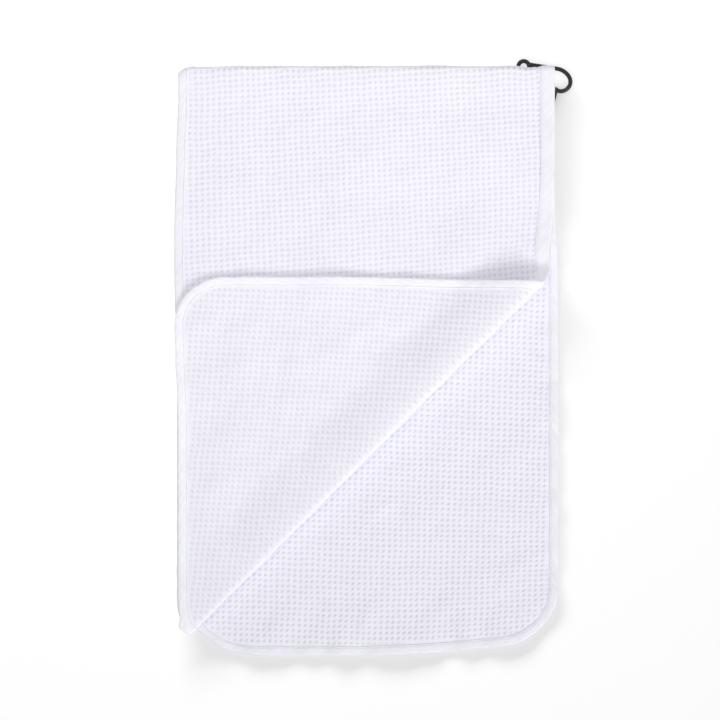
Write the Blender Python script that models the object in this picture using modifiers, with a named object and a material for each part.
"""Golf towel: a bound waffle-weave towel folded once across its width, with the
lower right corner of the front layer turned up over a diagonal crease, and a
small wire carabiner on a webbing loop at the top right corner.

Units are metres, +Z is up. The towel lies flat on its back layer: +Y is the
folded top edge, +X the side that carries the clip. The origin is on the flat
underside of the back layer, on the towel's centre line.

The cloth is one flat strip with coordinates u (across) and v (along, from the
bottom edge of the back layer, over the fold, to the bottom edge of the front
layer). Every piece of cloth, tape and stitching is made flat in (u, v, w), w
being the height over the cloth's middle surface, cut at the folds, and then
laid out by cloth_point().
"""

import math

import bmesh
import bpy
import numpy as np
from mathutils import Matrix, Vector

WELD = 1e-6                 # points closer than this are one
UP = Vector((0, 0, 1))

# ---------------------------------------------------------------- towel sizes
WIDTH = 0.350
BACK_CORNER_R = (0.072, 0.050)   # bottom corners of the back layer, -X and +X
FRONT_CORNER_R = (0.045, 0.045)  # bottom corners of the front layer, -X and +X
CORNER_STEPS = 6
CLOTH_T = 0.0016            # waffle cloth, peak to peak
CLOTH_INSET = 0.0018        # the cloth's cut edge, inside the tape's fold
TAPE_T = 0.0006             # binding tape
TAPE_GAP = 0.0003           # between tape and cloth
TAPE_LEG = 0.0070           # how far the folded tape reaches over the cloth
TAPE_ROLL = 0.0014          # radius of the tape's fold round the cloth's edge
TAPE_ROLL_STEPS = 3
THREAD_R = 0.00022
THREAD_GAP = 0.0003         # between thread and cloth
THREAD_INSET = 0.0076
THREAD_W = CLOTH_T / 2 + THREAD_GAP + THREAD_R

# ---------------------------------------------------------------- how the towel lies
LAYER_RISE = 0.0037
Z_BACK = CLOTH_T / 2        # middle of the back layer
Z_FRONT = Z_BACK + LAYER_RISE
Z_CORNER = Z_FRONT + LAYER_RISE
Y_BOTTOM = -0.2725          # bottom edge of the back layer
Y_FRONT = -0.2670           # where the front layer's bottom edge would lie
Y_FOLD = 0.2683             # centre of the top fold's roll
FOLD_R = 0.0030
FOLD_STEPS = 6
SETTLE = 0.040              # length over which a roll settles to its layer

# the back layer's middle is lowered: fully inside FULL, not at all beyond NONE
SAG = 0.00005
SAG_FULL_X, SAG_NONE_X = WIDTH / 8, WIDTH * 3 / 8
SAG_FULL_Y, SAG_NONE_Y = 0.050, 0.100

# the clip under the top right corner raises it
LIFT = 0.0061
LIFT_FULL_Y, LIFT_NONE_Y = 0.222, 0.130

V_FOLD = Y_FOLD - Y_BOTTOM           # start of the top fold's roll
V_FRONT = V_FOLD + math.pi * FOLD_R  # start of the front layer
V_END = V_FRONT + Y_FOLD - Y_FRONT

# the diagonal crease
CREASE_ANGLE = math.radians(45.55)
CREASE_DOWN = (-math.cos(CREASE_ANGLE), -math.sin(CREASE_ANGLE))  # to the lower left
CREASE_OUT = (-CREASE_DOWN[1], CREASE_DOWN[0])  # to the corner before it is turned up
CREASE_POINT = (0.1564, 0.0785)      # a point of the crease roll's axis
CREASE_R = 0.0090                    # the roll's radius at that point
CREASE_TAPER = 0.0104                # how fast the radius falls along CREASE_DOWN
CREASE_STEPS = 10
ZONE_GAP = 0.00020                   # half of the gap between neighbouring cloth pieces

# ---------------------------------------------------------------- clip sizes
WIRE_R = 0.00195
Z_CLIP = 0.00205                     # the wire's centre line
EYE = Vector((0.1452, 0.2713, Z_CLIP))
EYE_R = 0.00495
EYE_WIRE_SEGMENTS, EYE_STEPS = 10, 22

# the bent wire's centre line, from the eye round to the nose; bends turn clockwise
BOW_START, BOW_HEADING = (0.15003, 0.27305), -8.4
BOW_WIRE_RESOLUTION = 3
BOW_WELD = 1e-5
BOW = [
    ("straight", 0.02624),           # length
    ("bend", 0.0155, 51.6, 4),       # radius, degrees, steps
    ("bend", 0.0088, 134.0, 10),
    ("straight", 0.01153),
    ("bend", 0.0050, 39.0, 3),
    ("straight", 0.0012),
]

# gate frame: lengths run from PIVOT along GATE_DIR, sides along GATE_IN
PIVOT = Vector((0.1532, 0.2669, Z_CLIP))
GATE_DIR = Vector((0.6018, -0.7986, 0.0)).normalized()
GATE_IN = Vector((-GATE_DIR.y, GATE_DIR.x, 0.0))     # towards the inside of the ring
GATE_START, GATE_END = 0.0002, 0.0155
ROUND_END_R = WIRE_R * 0.975
ROUND_END_TURN = 0.11                # radians about +Z
FORK_SLOT, FORK_DEPTH = 0.0022, 0.0028
BORE_R, BORE_END = 0.0012, 0.0126
BORE_OVERLAP = 0.0005                # how far the bore starts back inside the slot
POCKET_AT, POCKET_HALF = 0.0131, 0.0010
POCKET_OUT, POCKET_OVERRUN = 0.0030, 0.001
NOSE_AT = 0.0158
TONGUE_GAP = 0.0003                  # between tongue and pocket
TONGUE_OUT = 0.0013
TONGUE_ROOT = 0.0004                 # how far the tongue runs past NOSE_AT

LUG_R, LUG_T, LUG_FLAT = 0.0024, 0.0016, 0.0019
LUG_SEGMENTS = 24
LUG_FLAT_CUT = 0.003                 # length of the box that cuts the flat
STEM_HALF = 0.0013
RIVET_R, RIVET_HEAD_R, RIVET_HEAD_T = 0.0007, 0.0012, 0.0004
RIVET_HEAD_AT = WIRE_R + 0.0001 + RIVET_HEAD_T / 2   # from the pivot, up and down
LUG_HOLE_R = RIVET_R + 0.00012
GATE_HOLE_R = RIVET_R + 0.00010
HOLE_LEN = 0.006
CUTTER_REACH = 0.004                 # how far the slot and flat cutters run out

PLUNGER_R, PLUNGER_AT, PLUNGER_LEN = 0.0011, 0.0021, 0.0040
PLUNGER_SEGMENTS = 12
SPRING_R, SPRING_WIRE_R = 0.00080, 0.00015
SPRING_TURNS, SPRING_TURN_STEPS = 7, 10
SPRING_AT, SPRING_LEN = 0.0067, 0.0053

# ---------------------------------------------------------------- webbing loop sizes
ARM_POINT = Vector((0.171808, 0.250086, Z_CLIP))     # middle of the clip's lower arm
ARM_HEADING = math.radians(166)
ARM_DIR = Vector((math.cos(ARM_HEADING), math.sin(ARM_HEADING), 0.0))
TAIL_DIR = Vector((-ARM_DIR.y, ARM_DIR.x, 0.0))      # from the arm, in under the towel
LOOP_W, LOOP_T, LOOP_TAIL = 0.0100, 0.00055, 0.0150
LOOP_GAP = 0.00025                   # between wire and webbing
LOOP_R = WIRE_R + LOOP_GAP + LOOP_T / 2
LOOP_WRAP, LOOP_STEPS = 225, 8       # degrees round the arm
LOOP_TOP = Z_CLIP + LOOP_R           # middle of the upper tail
LOOP_LOW = LOOP_TOP - 0.00085        # middle of the lower tail
BARTACK = (0.0090, 0.0015, 0.0005)   # along the arm, along the tail, thick
BARTACK_GAP = 0.0003                 # between bartack and webbing
BARTACKS_AT = (0.0095, 0.0135)       # distances along the tail

# ---------------------------------------------------------------- materials
MATERIALS = {
    "waffle_microfibre": dict(color=(0.82, 0.81, 0.88), roughness=0.95, sheen=0.3),
    "binding_tape": dict(color=(0.86, 0.86, 0.91), roughness=0.85, sheen=0.2),
    "sewing_thread": dict(color=(0.88, 0.88, 0.91), roughness=0.7),
    "black_webbing": dict(color=(0.010, 0.010, 0.011), roughness=0.75),
    "coated_wire": dict(color=(0.030, 0.031, 0.034), roughness=0.35, metallic=0.6),
    "plain_steel": dict(color=(0.55, 0.55, 0.56), roughness=0.30, metallic=1.0),
}


def material(name, color, roughness, metallic=0.0, sheen=0.0):
    made = bpy.data.materials.new(name)
    made.use_nodes = True
    inputs = made.node_tree.nodes["Principled BSDF"].inputs
    inputs["Base Color"].default_value = (*color, 1.0)
    inputs["Roughness"].default_value = roughness
    inputs["Metallic"].default_value = metallic
    inputs["Sheen Weight"].default_value = sheen
    return made


# ---------------------------------------------------------------- the lay of the cloth
def smooth(t):
    t = np.clip(t, 0.0, 1.0)
    return t * t * (3.0 - 2.0 * t)


def bend_at_crease(x, y, z, after_fold):
    """Turns the part of the front layer beyond the crease up and over."""
    from_x, from_y = x - CREASE_POINT[0], y - CREASE_POINT[1]
    out = np.where(after_fold, from_x * CREASE_OUT[0] + from_y * CREASE_OUT[1], -1.0)
    down = from_x * CREASE_DOWN[0] + from_y * CREASE_DOWN[1]
    radius = CREASE_R - CREASE_TAPER * down
    over = out > 0.0
    bend = np.clip(out / radius, 0.0, math.pi)
    flat = np.maximum(out - math.pi * radius, 0.0)
    shift = np.where(over, radius * np.sin(bend) - flat - out, 0.0)
    drop = Z_FRONT + 2 * radius - Z_CORNER
    z = np.where(over, Z_FRONT + radius * (1 - np.cos(bend)), z)
    z = np.where(flat > 0, Z_CORNER + drop * (1 - smooth(flat / SETTLE)), z)
    return x + shift * CREASE_OUT[0], y + shift * CREASE_OUT[1], z


def cloth_middle(u, v):
    """The cloth's middle surface at (u, v), as an (n, 3) array."""
    # back layer and top fold
    turn = np.clip((v - V_FOLD) / FOLD_R, 0.0, math.pi)
    y = np.where(v < V_FOLD, Y_BOTTOM + v, Y_FOLD + FOLD_R * np.sin(turn))
    z = Z_BACK + FOLD_R * (1.0 - np.cos(turn))

    # front layer
    after_fold = v > V_FRONT
    y = np.where(after_fold, Y_FOLD - (v - V_FRONT), y)
    drop = Z_BACK + 2 * FOLD_R - Z_FRONT
    settled = Z_FRONT + drop * (1 - smooth((v - V_FRONT) / SETTLE))
    z = np.where(after_fold, settled, z)
    x, y, z = bend_at_crease(u, y, z, after_fold)

    fade = np.maximum(
        (np.abs(x) - SAG_FULL_X) / (SAG_NONE_X - SAG_FULL_X),
        (np.abs(y) - SAG_FULL_Y) / (SAG_NONE_Y - SAG_FULL_Y),
    )
    z = z - np.where(v < V_FOLD, SAG * np.clip(1 - fade, 0.0, 1.0), 0.0)

    ramp = smooth((y - LIFT_NONE_Y) / (LIFT_FULL_Y - LIFT_NONE_Y))
    z = z + LIFT * (x + WIDTH / 2) / WIDTH * ramp
    return np.stack([x, y, z], axis=-1)


def cloth_point(uvw):
    """Where flat points, an (n, 3) array, come to lie."""
    u, v, w = uvw.T
    step = 1e-5
    across = cloth_middle(u + step, v) - cloth_middle(u - step, v)
    along = cloth_middle(u, v + step) - cloth_middle(u, v - step)
    normal = np.cross(across, along)
    normal /= np.linalg.norm(normal, axis=1, keepdims=True)
    return cloth_middle(u, v) + w[:, None] * normal


# ---------------------------------------------------------------- zones of the cloth
def front_v(y):
    return V_FRONT + Y_FOLD - y


def across_plane(v):
    return Vector((0, v, 0)), Vector((0, 1, 0))


def crease_plane(turn, distance):
    """The line in (u, v) this share of the way round the crease's roll, plus a distance."""
    lean = turn * math.pi * CREASE_TAPER
    distance += turn * math.pi * CREASE_R
    x, y = (point + distance * out for point, out in zip(CREASE_POINT, CREASE_OUT))
    normal_x, normal_y = (out + lean * down for out, down in zip(CREASE_OUT, CREASE_DOWN))
    return Vector((x, front_v(y), 0)), Vector((normal_x, -normal_y, 0))


LIFT_LINES = [LIFT_NONE_Y + (LIFT_FULL_Y - LIFT_NONE_Y) * k / 4 for k in range(5)]
SETTLE_LINES = [SETTLE * k / 4 for k in range(1, 5)]
SAG_LINES = [-SAG_NONE_Y, -SAG_FULL_Y, SAG_FULL_Y, SAG_NONE_Y]
CORNER_LINES = [0.0025, 0.0050] + SETTLE_LINES
SIDE_LINES = [
    (Vector((u, 0, 0)), Vector((1, 0, 0)))
    for u in (-SAG_NONE_X, -SAG_FULL_X, SAG_FULL_X, SAG_NONE_X)
]

# below, above: the zone lies on this side of these planes
# score: planes that only add edges
# strips: names of its edge strips, from -X to +X
ZONES = {
    "back": {
        "below": [across_plane(V_FOLD - ZONE_GAP)],
        "above": [],
        "score": [across_plane(y - Y_BOTTOM) for y in LIFT_LINES + SAG_LINES],
        "strips": ["back"],
    },
    "top_fold": {
        "below": [across_plane(V_FRONT - ZONE_GAP)],
        "above": [across_plane(V_FOLD + ZONE_GAP)],
        "score": [
            across_plane(V_FOLD + math.pi * FOLD_R * k / FOLD_STEPS)
            for k in range(1, FOLD_STEPS)
        ],
        "strips": ["top_fold_left", "top_fold_right"],
    },
    "front": {
        "below": [crease_plane(0, -ZONE_GAP)],
        "above": [across_plane(V_FRONT + ZONE_GAP)],
        "score": [across_plane(V_FRONT + distance) for distance in SETTLE_LINES]
        + [across_plane(front_v(y)) for y in LIFT_LINES],
        "strips": ["front_left", "front_right"],
    },
    "crease": {
        "below": [crease_plane(1, -ZONE_GAP)],
        "above": [crease_plane(0, ZONE_GAP), across_plane(V_FRONT + ZONE_GAP)],
        "score": [crease_plane(k / CREASE_STEPS, 0) for k in range(1, CREASE_STEPS)],
        "strips": ["crease_lower", "crease_upper"],
    },
    "corner": {
        "below": [],
        "above": [crease_plane(1, ZONE_GAP), across_plane(V_FRONT + ZONE_GAP)],
        "score": [crease_plane(1, distance) for distance in CORNER_LINES],
        "strips": ["corner"],
    },
}


def bisect(shape, plane, keep=None):
    point, normal = plane
    bmesh.ops.bisect_plane(
        shape,
        geom=shape.verts[:] + shape.edges[:] + shape.faces[:],
        dist=WELD,
        plane_co=point,
        plane_no=normal,
        clear_outer=keep == "below",
        clear_inner=keep == "above",
    )


def trim_to_zone(shape, zone, score_sides=True):
    for keep in ("below", "above"):
        for plane in ZONES[zone][keep]:
            bisect(shape, plane, keep)
    for plane in ZONES[zone]["score"] + (SIDE_LINES if score_sides else []):
        bisect(shape, plane)


# ---------------------------------------------------------------- scene helpers
def clear_scene():
    for obj in list(bpy.data.objects):
        bpy.data.objects.remove(obj, do_unlink=True)


def collection(name, hidden=False):
    made = bpy.data.collections.new(name)
    bpy.context.scene.collection.children.link(made)
    made.hide_render = hidden
    return made


def attach(obj, parent):
    """Parents the object without moving it."""
    obj.parent = parent
    obj.matrix_parent_inverse = parent.matrix_world.inverted()


def add_object(name, data, mat, home, parent, smooth_shade=False):
    obj = bpy.data.objects.new(name, data)
    data.materials.append(mat)
    home.objects.link(obj)
    attach(obj, parent)
    if smooth_shade:
        data.shade_smooth()
        data.set_sharp_from_angle(angle=math.radians(40))
    return obj


def empty(name, location, home, parent=None):
    obj = bpy.data.objects.new(name, None)
    obj.empty_display_size = 0.02
    home.objects.link(obj)
    obj.location = location
    if parent is not None:
        attach(obj, parent)
    # children read this empty's world matrix
    bpy.context.view_layer.update()
    return obj


def solidify(obj, thickness):
    shell = obj.modifiers.new("thickness", "SOLIDIFY")
    shell.thickness = thickness
    shell.offset = 0.0
    shell.use_even_offset = True
    shell.use_quality_normals = True


def finish_mesh(name, shape, fix_normals=False):
    """Turns the bmesh into a mesh and frees it."""
    if fix_normals:
        bmesh.ops.recalc_face_normals(shape, faces=shape.faces[:])
    mesh = bpy.data.meshes.new(name)
    shape.to_mesh(mesh)
    shape.free()
    return mesh


def poly_curve(name, points, radius, resolution=0):
    """A round tube along straight segments."""
    data = bpy.data.curves.new(name, "CURVE")
    data.dimensions = "3D"
    data.bevel_depth = radius
    data.bevel_resolution = resolution
    data.use_fill_caps = True
    spline = data.splines.new("POLY")
    spline.points.add(len(points) - 1)
    for point, co in zip(spline.points, points):
        point.co = (*co, 1.0)
    return data


# ---------------------------------------------------------------- cloth, tape and stitching
def outline(inset):
    """(u, v) points round the flat towel, this far inside its edge."""
    points = []
    # side in u, 1 at the front layer's end, corner radius, start angle
    for side, end, radius, start in (
        (1, 0, BACK_CORNER_R[1], -90),
        (1, 1, FRONT_CORNER_R[1], 0),
        (-1, 1, FRONT_CORNER_R[0], 90),
        (-1, 0, BACK_CORNER_R[0], 180),
    ):
        centre_u = side * (WIDTH / 2 - radius)
        centre_v = V_END - radius if end else radius
        reach = radius - inset
        for k in range(CORNER_STEPS + 1):
            angle = math.radians(start + 90 * k / CORNER_STEPS)
            points.append(
                (centre_u + reach * math.cos(angle), centre_v + reach * math.sin(angle))
            )
    return points


def flat_outline(inset, filled):
    ring = outline(inset)
    shape = bmesh.new()
    bmesh.ops.create_circle(shape, cap_ends=filled, segments=len(ring), radius=1.0)
    for vert, (u, v) in zip(shape.verts, ring):
        vert.co = (u, v, 0)
    return shape


def lay(shape):
    """Moves the flat piece's points to where the cloth lies."""
    laid = cloth_point(np.array([vert.co[:] for vert in shape.verts]))
    for vert, co in zip(shape.verts, laid):
        vert.co = co


def islands(shape):
    """The connected groups of vertices, from -X to +X, each sorted by index."""
    shape.verts.index_update()
    left, found = set(shape.verts), []
    while left:
        group, pending = set(), [left.pop()]
        while pending:
            vert = pending.pop()
            group.add(vert)
            for link in vert.link_edges:
                other = link.other_vert(vert)
                if other in left:
                    left.discard(other)
                    pending.append(other)
        found.append(sorted(group, key=lambda vert: vert.index))
    return sorted(found, key=lambda group: sum(vert.co.x for vert in group) / len(group))


def cloth_panel(zone):
    shape = flat_outline(CLOTH_INSET, filled=True)
    trim_to_zone(shape, zone)
    lay(shape)
    return finish_mesh("waffle_" + zone, shape, fix_normals=True)


def tape_profile():
    """(inset, w) along the folded tape's middle surface."""
    w = CLOTH_T / 2 + TAPE_GAP + TAPE_T / 2
    centre = TAPE_ROLL + TAPE_T / 2
    profile = [(TAPE_LEG, w)]
    for k in range(TAPE_ROLL_STEPS + 1):
        angle = math.pi * k / TAPE_ROLL_STEPS
        profile.append((centre - TAPE_ROLL * math.sin(angle), w * math.cos(angle)))
    profile.append((TAPE_LEG, -w))
    return profile


def flat_tape():
    """The whole towel's tape: a grid wrapped round the outline and welded shut."""
    profile = tape_profile()
    rings = [outline(inset) for inset, _ in profile]
    count, rows = len(rings[0]), len(profile) - 1
    shape = bmesh.new()
    bmesh.ops.create_grid(shape, x_segments=count, y_segments=rows, size=1.0)
    for vert in shape.verts:
        i = round((vert.co.x + 1) / 2 * count)
        j = round((vert.co.y + 1) / 2 * rows)
        vert.co = (*rings[j][i % count], profile[j][1])
    bmesh.ops.remove_doubles(shape, verts=shape.verts[:], dist=WELD)
    return shape


def binding_strips(zone):
    """The tape in this zone: one mesh for each of its strips."""
    whole = flat_tape()
    trim_to_zone(whole, zone)
    meshes = []
    for label, group in zip(ZONES[zone]["strips"], islands(whole), strict=True):
        keep = {vert.index for vert in group}
        part = whole.copy()
        part.verts.index_update()
        others = [vert for vert in part.verts if vert.index not in keep]
        bmesh.ops.delete(part, geom=others, context="VERTS")
        lay(part)
        meshes.append(finish_mesh("binding_" + label, part, fix_normals=True))
    whole.free()
    return meshes


def thread_path(group):
    """The open row's vertices in order from one end."""
    path, last = [next(vert for vert in group if len(vert.link_edges) == 1)], None
    while True:
        onward = [edge.other_vert(path[-1]) for edge in path[-1].link_edges]
        onward = [vert for vert in onward if vert is not last]
        if not onward:
            return path
        last = path[-1]
        path.append(onward[0])


def thread_rows(zone, side, w):
    """The stitching in this zone: one curve for each of its strips."""
    shape = flat_outline(THREAD_INSET, filled=False)
    trim_to_zone(shape, zone, score_sides=False)
    curves = []
    for label, group in zip(ZONES[zone]["strips"], islands(shape), strict=True):
        flat = [(vert.co.x, vert.co.y, w) for vert in thread_path(group)]
        points = cloth_point(np.array(flat))
        curves.append(poly_curve(f"thread_{side}_{label}", points, THREAD_R))
    shape.free()
    return curves


def add_zone(zone, home, parent, mats):
    """One zone's cloth, binding and stitching."""
    panel = cloth_panel(zone)
    cloth = add_object(panel.name, panel, mats["waffle_microfibre"], home, parent, True)
    solidify(cloth, CLOTH_T)
    for mesh in binding_strips(zone):
        strip = add_object(mesh.name, mesh, mats["binding_tape"], home, parent, True)
        solidify(strip, TAPE_T)
    # inner is the side where the back and front layers face each other
    for side, w in (("inner", THREAD_W), ("outer", -THREAD_W)):
        for curve in thread_rows(zone, side, w):
            add_object(curve.name, curve, mats["sewing_thread"], home, parent)


# ---------------------------------------------------------------- hard solids
def mesh_of_curve(curve_data):
    """The curve's bevelled tube as a closed mesh."""
    holder = bpy.data.objects.new("tube", curve_data)
    bpy.context.scene.collection.objects.link(holder)
    bpy.context.view_layer.update()
    graph = bpy.context.evaluated_depsgraph_get()
    mesh = bpy.data.meshes.new_from_object(holder.evaluated_get(graph))
    bpy.data.objects.remove(holder, do_unlink=True)
    shape = bmesh.new()
    shape.from_mesh(mesh)
    bmesh.ops.remove_doubles(shape, verts=shape.verts[:], dist=BOW_WELD)
    bmesh.ops.recalc_face_normals(shape, faces=shape.faces[:])
    shape.to_mesh(mesh)
    shape.free()
    return mesh


def cylinder(name, radius, length, centre, direction, segments):
    shape = bmesh.new()
    turn = UP.rotation_difference(direction).to_matrix().to_4x4()
    bmesh.ops.create_cone(
        shape,
        cap_ends=True,
        segments=segments,
        radius1=radius,
        radius2=radius,
        depth=length,
        matrix=Matrix.Translation(centre) @ turn,
    )
    return finish_mesh(name, shape)


def gate_rod(name, radius, start, end, segments=16):
    """A cylinder along the gate's axis."""
    middle = PIVOT + GATE_DIR * ((start + end) / 2)
    return cylinder(name, radius, end - start, middle, GATE_DIR, segments)


def pivot_disc(name, radius, length, rise=0.0, segments=16):
    """An upright cylinder centred this far above the pivot."""
    return cylinder(name, radius, length, PIVOT + UP * rise, UP, segments)


def block(name, low, high, origin, along, side):
    """A box between two corners given in the frame (along, side, +Z) at origin."""
    frame = Matrix((along, side, UP)).transposed().to_4x4()
    middle = [(a + b) / 2 for a, b in zip(low, high)]
    size = [b - a for a, b in zip(low, high)]
    place = Matrix.Translation(origin) @ frame @ Matrix.Translation(middle)
    shape = bmesh.new()
    bmesh.ops.create_cube(shape, size=1.0, matrix=place @ Matrix.Diagonal((*size, 1.0)))
    return finish_mesh(name, shape, fix_normals=True)


def gate_block(name, low, high):
    return block(name, low, high, PIVOT, GATE_DIR, GATE_IN)


def apply_tools(obj, tools, steps):
    """Adds a boolean modifier and its helper object for each (operation, mesh)."""
    for operation, mesh in steps:
        helper = bpy.data.objects.new(mesh.name + "_tool", mesh)
        tools.objects.link(helper)
        helper.hide_render = True
        helper.display_type = "WIRE"
        step = obj.modifiers.new(operation.lower(), "BOOLEAN")
        step.operation = operation
        step.solver = "EXACT"
        step.object = helper


# ---------------------------------------------------------------- clip body
def bow_path():
    x, y = BOW_START
    heading = math.radians(BOW_HEADING)
    points = [(x, y, Z_CLIP)]
    for kind, *sizes in BOW:
        if kind == "straight":
            x += sizes[0] * math.cos(heading)
            y += sizes[0] * math.sin(heading)
            points.append((x, y, Z_CLIP))
            continue
        radius, degrees, steps = sizes
        centre_x = x + radius * math.sin(heading)
        centre_y = y - radius * math.cos(heading)
        for _ in range(steps):
            heading -= math.radians(degrees) / steps
            x = centre_x - radius * math.sin(heading)
            y = centre_y + radius * math.cos(heading)
            points.append((x, y, Z_CLIP))
    return points


def clip_eye():
    """A wire circle swept once round."""
    shape = bmesh.new()
    bmesh.ops.create_circle(
        shape,
        cap_ends=False,
        segments=EYE_WIRE_SEGMENTS,
        radius=WIRE_R,
        matrix=Matrix.Translation((EYE_R, 0, 0)) @ Matrix.Rotation(math.pi / 2, 4, "X"),
    )
    bmesh.ops.spin(
        shape,
        geom=shape.verts[:] + shape.edges[:],
        cent=(0, 0, 0),
        axis=UP,
        angle=2 * math.pi,
        steps=EYE_STEPS,
        use_merge=True,
    )
    bmesh.ops.remove_doubles(shape, verts=shape.verts[:], dist=WELD)
    bmesh.ops.transform(shape, matrix=Matrix.Translation(EYE), verts=shape.verts[:])
    return finish_mesh("clip_eye", shape, fix_normals=True)


def clip_stem():
    """The flat bar from the lug to the eye."""
    to_eye = EYE - PIVOT
    reach = to_eye.length
    to_eye.normalize()
    low = (0.0, -STEM_HALF, -LUG_T / 2)
    high = (reach - EYE_R, STEM_HALF, LUG_T / 2)
    return block("clip_stem", low, high, PIVOT, to_eye, Vector((-to_eye.y, to_eye.x, 0)))


def lug_flat():
    """The box that cuts the lug flat on the gate's side."""
    return gate_block(
        "clip_lug_flat",
        (LUG_FLAT, -CUTTER_REACH, -HOLE_LEN / 2),
        (LUG_FLAT + LUG_FLAT_CUT, CUTTER_REACH, HOLE_LEN / 2),
    )


def clip_tongue():
    """The tongue from the nose into the gate's pocket."""
    half = POCKET_HALF - TONGUE_GAP
    return gate_block(
        "clip_tongue",
        (POCKET_AT + TONGUE_GAP, -TONGUE_OUT, -half),
        (NOSE_AT + TONGUE_ROOT, half, half),
    )


def clip_body(home, tools, mat, parent):
    curve = poly_curve("clip_body", bow_path(), WIRE_R, BOW_WIRE_RESOLUTION)
    obj = add_object("clip_body", mesh_of_curve(curve), mat, home, parent)
    apply_tools(obj, tools, [
        ("UNION", clip_eye()),
        ("UNION", pivot_disc("clip_lug", LUG_R, LUG_T, segments=LUG_SEGMENTS)),
        ("UNION", clip_stem()),
        ("DIFFERENCE", lug_flat()),
        ("DIFFERENCE", pivot_disc("clip_rivet_hole", LUG_HOLE_R, HOLE_LEN)),
        ("UNION", clip_tongue()),
    ])


# ---------------------------------------------------------------- gate
def gate_round_end():
    shape = bmesh.new()
    bmesh.ops.create_uvsphere(
        shape,
        u_segments=16,
        v_segments=10,
        radius=ROUND_END_R,
        matrix=Matrix.Translation(PIVOT) @ Matrix.Rotation(ROUND_END_TURN, 4, "Z"),
    )
    return finish_mesh("gate_round_end", shape)


def fork_slot():
    """The slot that takes the lug."""
    return gate_block(
        "gate_fork_slot",
        (-CUTTER_REACH, -CUTTER_REACH, -FORK_SLOT / 2),
        (FORK_DEPTH, CUTTER_REACH, FORK_SLOT / 2),
    )


def gate_pocket():
    """The pocket that takes the tongue, open outwards and at the gate's end."""
    return gate_block(
        "gate_pocket",
        (POCKET_AT, -POCKET_OUT, -POCKET_HALF),
        (GATE_END + POCKET_OVERRUN, POCKET_HALF, POCKET_HALF),
    )


def clip_gate(home, tools, mat, parent):
    rod = gate_rod("clip_gate", WIRE_R, GATE_START, GATE_END)
    obj = add_object("clip_gate", rod, mat, home, parent)
    apply_tools(obj, tools, [
        ("UNION", gate_round_end()),
        ("DIFFERENCE", fork_slot()),
        ("DIFFERENCE", gate_rod("gate_bore", BORE_R, FORK_DEPTH - BORE_OVERLAP, BORE_END)),
        ("DIFFERENCE", pivot_disc("gate_rivet_hole", GATE_HOLE_R, HOLE_LEN)),
        ("DIFFERENCE", gate_pocket()),
    ])


def gate_rivet(home, tools, mat, parent):
    shank = pivot_disc("gate_rivet", RIVET_R, 2 * RIVET_HEAD_AT)
    obj = add_object("gate_rivet", shank, mat, home, parent)
    apply_tools(obj, tools, [
        ("UNION", pivot_disc("rivet_head_" + label, RIVET_HEAD_R, RIVET_HEAD_T, rise))
        for label, rise in (("upper", RIVET_HEAD_AT), ("lower", -RIVET_HEAD_AT))
    ])


def gate_plunger(home, mat, parent):
    end = PLUNGER_AT + PLUNGER_LEN
    rod = gate_rod("gate_plunger", PLUNGER_R, PLUNGER_AT, end, PLUNGER_SEGMENTS)
    add_object("gate_plunger", rod, mat, home, parent, True)


def gate_spring(home, mat, parent):
    """The coil behind the plunger."""
    points = []
    steps = SPRING_TURNS * SPRING_TURN_STEPS
    for k in range(steps + 1):
        angle = 2 * math.pi * k / SPRING_TURN_STEPS
        along = GATE_DIR * (SPRING_AT + SPRING_LEN * k / steps)
        around = GATE_IN * math.cos(angle) + UP * math.sin(angle)
        points.append(PIVOT + along + around * SPRING_R)
    coil = poly_curve("gate_spring", points, SPRING_WIRE_R)
    add_object("gate_spring", coil, mat, home, parent)


# ---------------------------------------------------------------- webbing loop
def loop_path():
    """(distance along the tail, z) of the ribbon's middle, round the clip's arm."""
    path = [(LOOP_TAIL, LOOP_TOP), (0.0, LOOP_TOP)]
    for k in range(1, LOOP_STEPS + 1):
        angle = math.radians(90 + k * LOOP_WRAP / LOOP_STEPS)
        path.append((LOOP_R * math.cos(angle), Z_CLIP + LOOP_R * math.sin(angle)))
    # rise at 45 degrees to the lower tail
    along, z = path[-1]
    path.append((along + LOOP_LOW - z, LOOP_LOW))
    path.append((LOOP_TAIL, LOOP_LOW))
    return path


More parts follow.
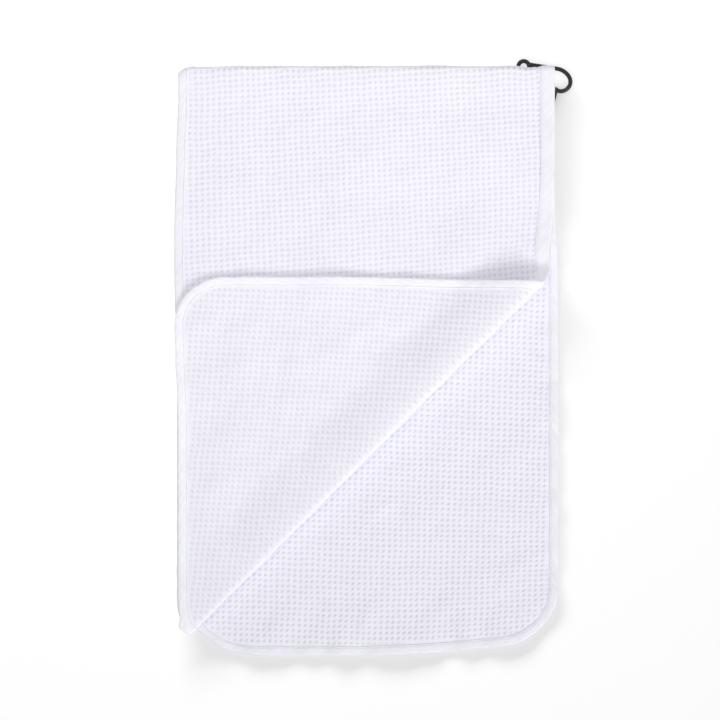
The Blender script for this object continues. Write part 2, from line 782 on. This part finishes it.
def hanging_loop(home, mat, parent):
    path = loop_path()
    count = len(path) - 1
    shape = bmesh.new()
    bmesh.ops.create_grid(shape, x_segments=count, y_segments=1, size=1.0)
    for vert in shape.verts:
        along, z = path[round((vert.co.x + 1) / 2 * count)]
        side = vert.co.y * LOOP_W / 2
        vert.co = ARM_POINT + TAIL_DIR * along + ARM_DIR * side
        vert.co.z = z
    mesh = finish_mesh("hanging_loop", shape)
    loop = add_object("hanging_loop", mesh, mat, home, parent, True)
    solidify(loop, LOOP_T)


def loop_bartacks(home, mat, parent):
    """Two bars of stitching under the lower tail."""
    high = [size / 2 for size in BARTACK]
    low = [-half for half in high]
    for k, distance in enumerate(BARTACKS_AT, 1):
        name = f"loop_bartack_{k}"
        centre = ARM_POINT + TAIL_DIR * distance
        centre.z = LOOP_LOW - LOOP_T / 2 - BARTACK_GAP - BARTACK[2] / 2
        bar = block(name, low, high, centre, ARM_DIR, TAIL_DIR)
        add_object(name, bar, mat, home, parent)


# ---------------------------------------------------------------- assembly
def build():
    clear_scene()
    home = collection("golf_towel")
    tools = collection("cutters", hidden=True)
    mats = {name: material(name, **look) for name, look in MATERIALS.items()}

    back = empty("towel_back", (0, 0, 0), home)
    front = empty("towel_front", (0, Y_FOLD, Z_BACK + FOLD_R + LIFT / 2), home, back)
    corner = empty("corner_flap", (*CREASE_POINT, Z_FRONT + CREASE_R), home, front)
    clip = empty("clip", ARM_POINT, home, back)
    gate = empty("clip_gate_pivot", PIVOT, home, clip)

    # the zones' parents, in the order of ZONES
    for zone, parent in zip(ZONES, (back, back, front, front, corner)):
        add_zone(zone, home, parent, mats)

    hanging_loop(home, mats["black_webbing"], back)
    loop_bartacks(home, mats["sewing_thread"], back)

    clip_body(home, tools, mats["coated_wire"], clip)
    clip_gate(home, tools, mats["coated_wire"], gate)
    gate_rivet(home, tools, mats["plain_steel"], clip)
    gate_plunger(home, mats["plain_steel"], gate)
    gate_spring(home, mats["plain_steel"], gate)
    bpy.context.view_layer.update()


build()
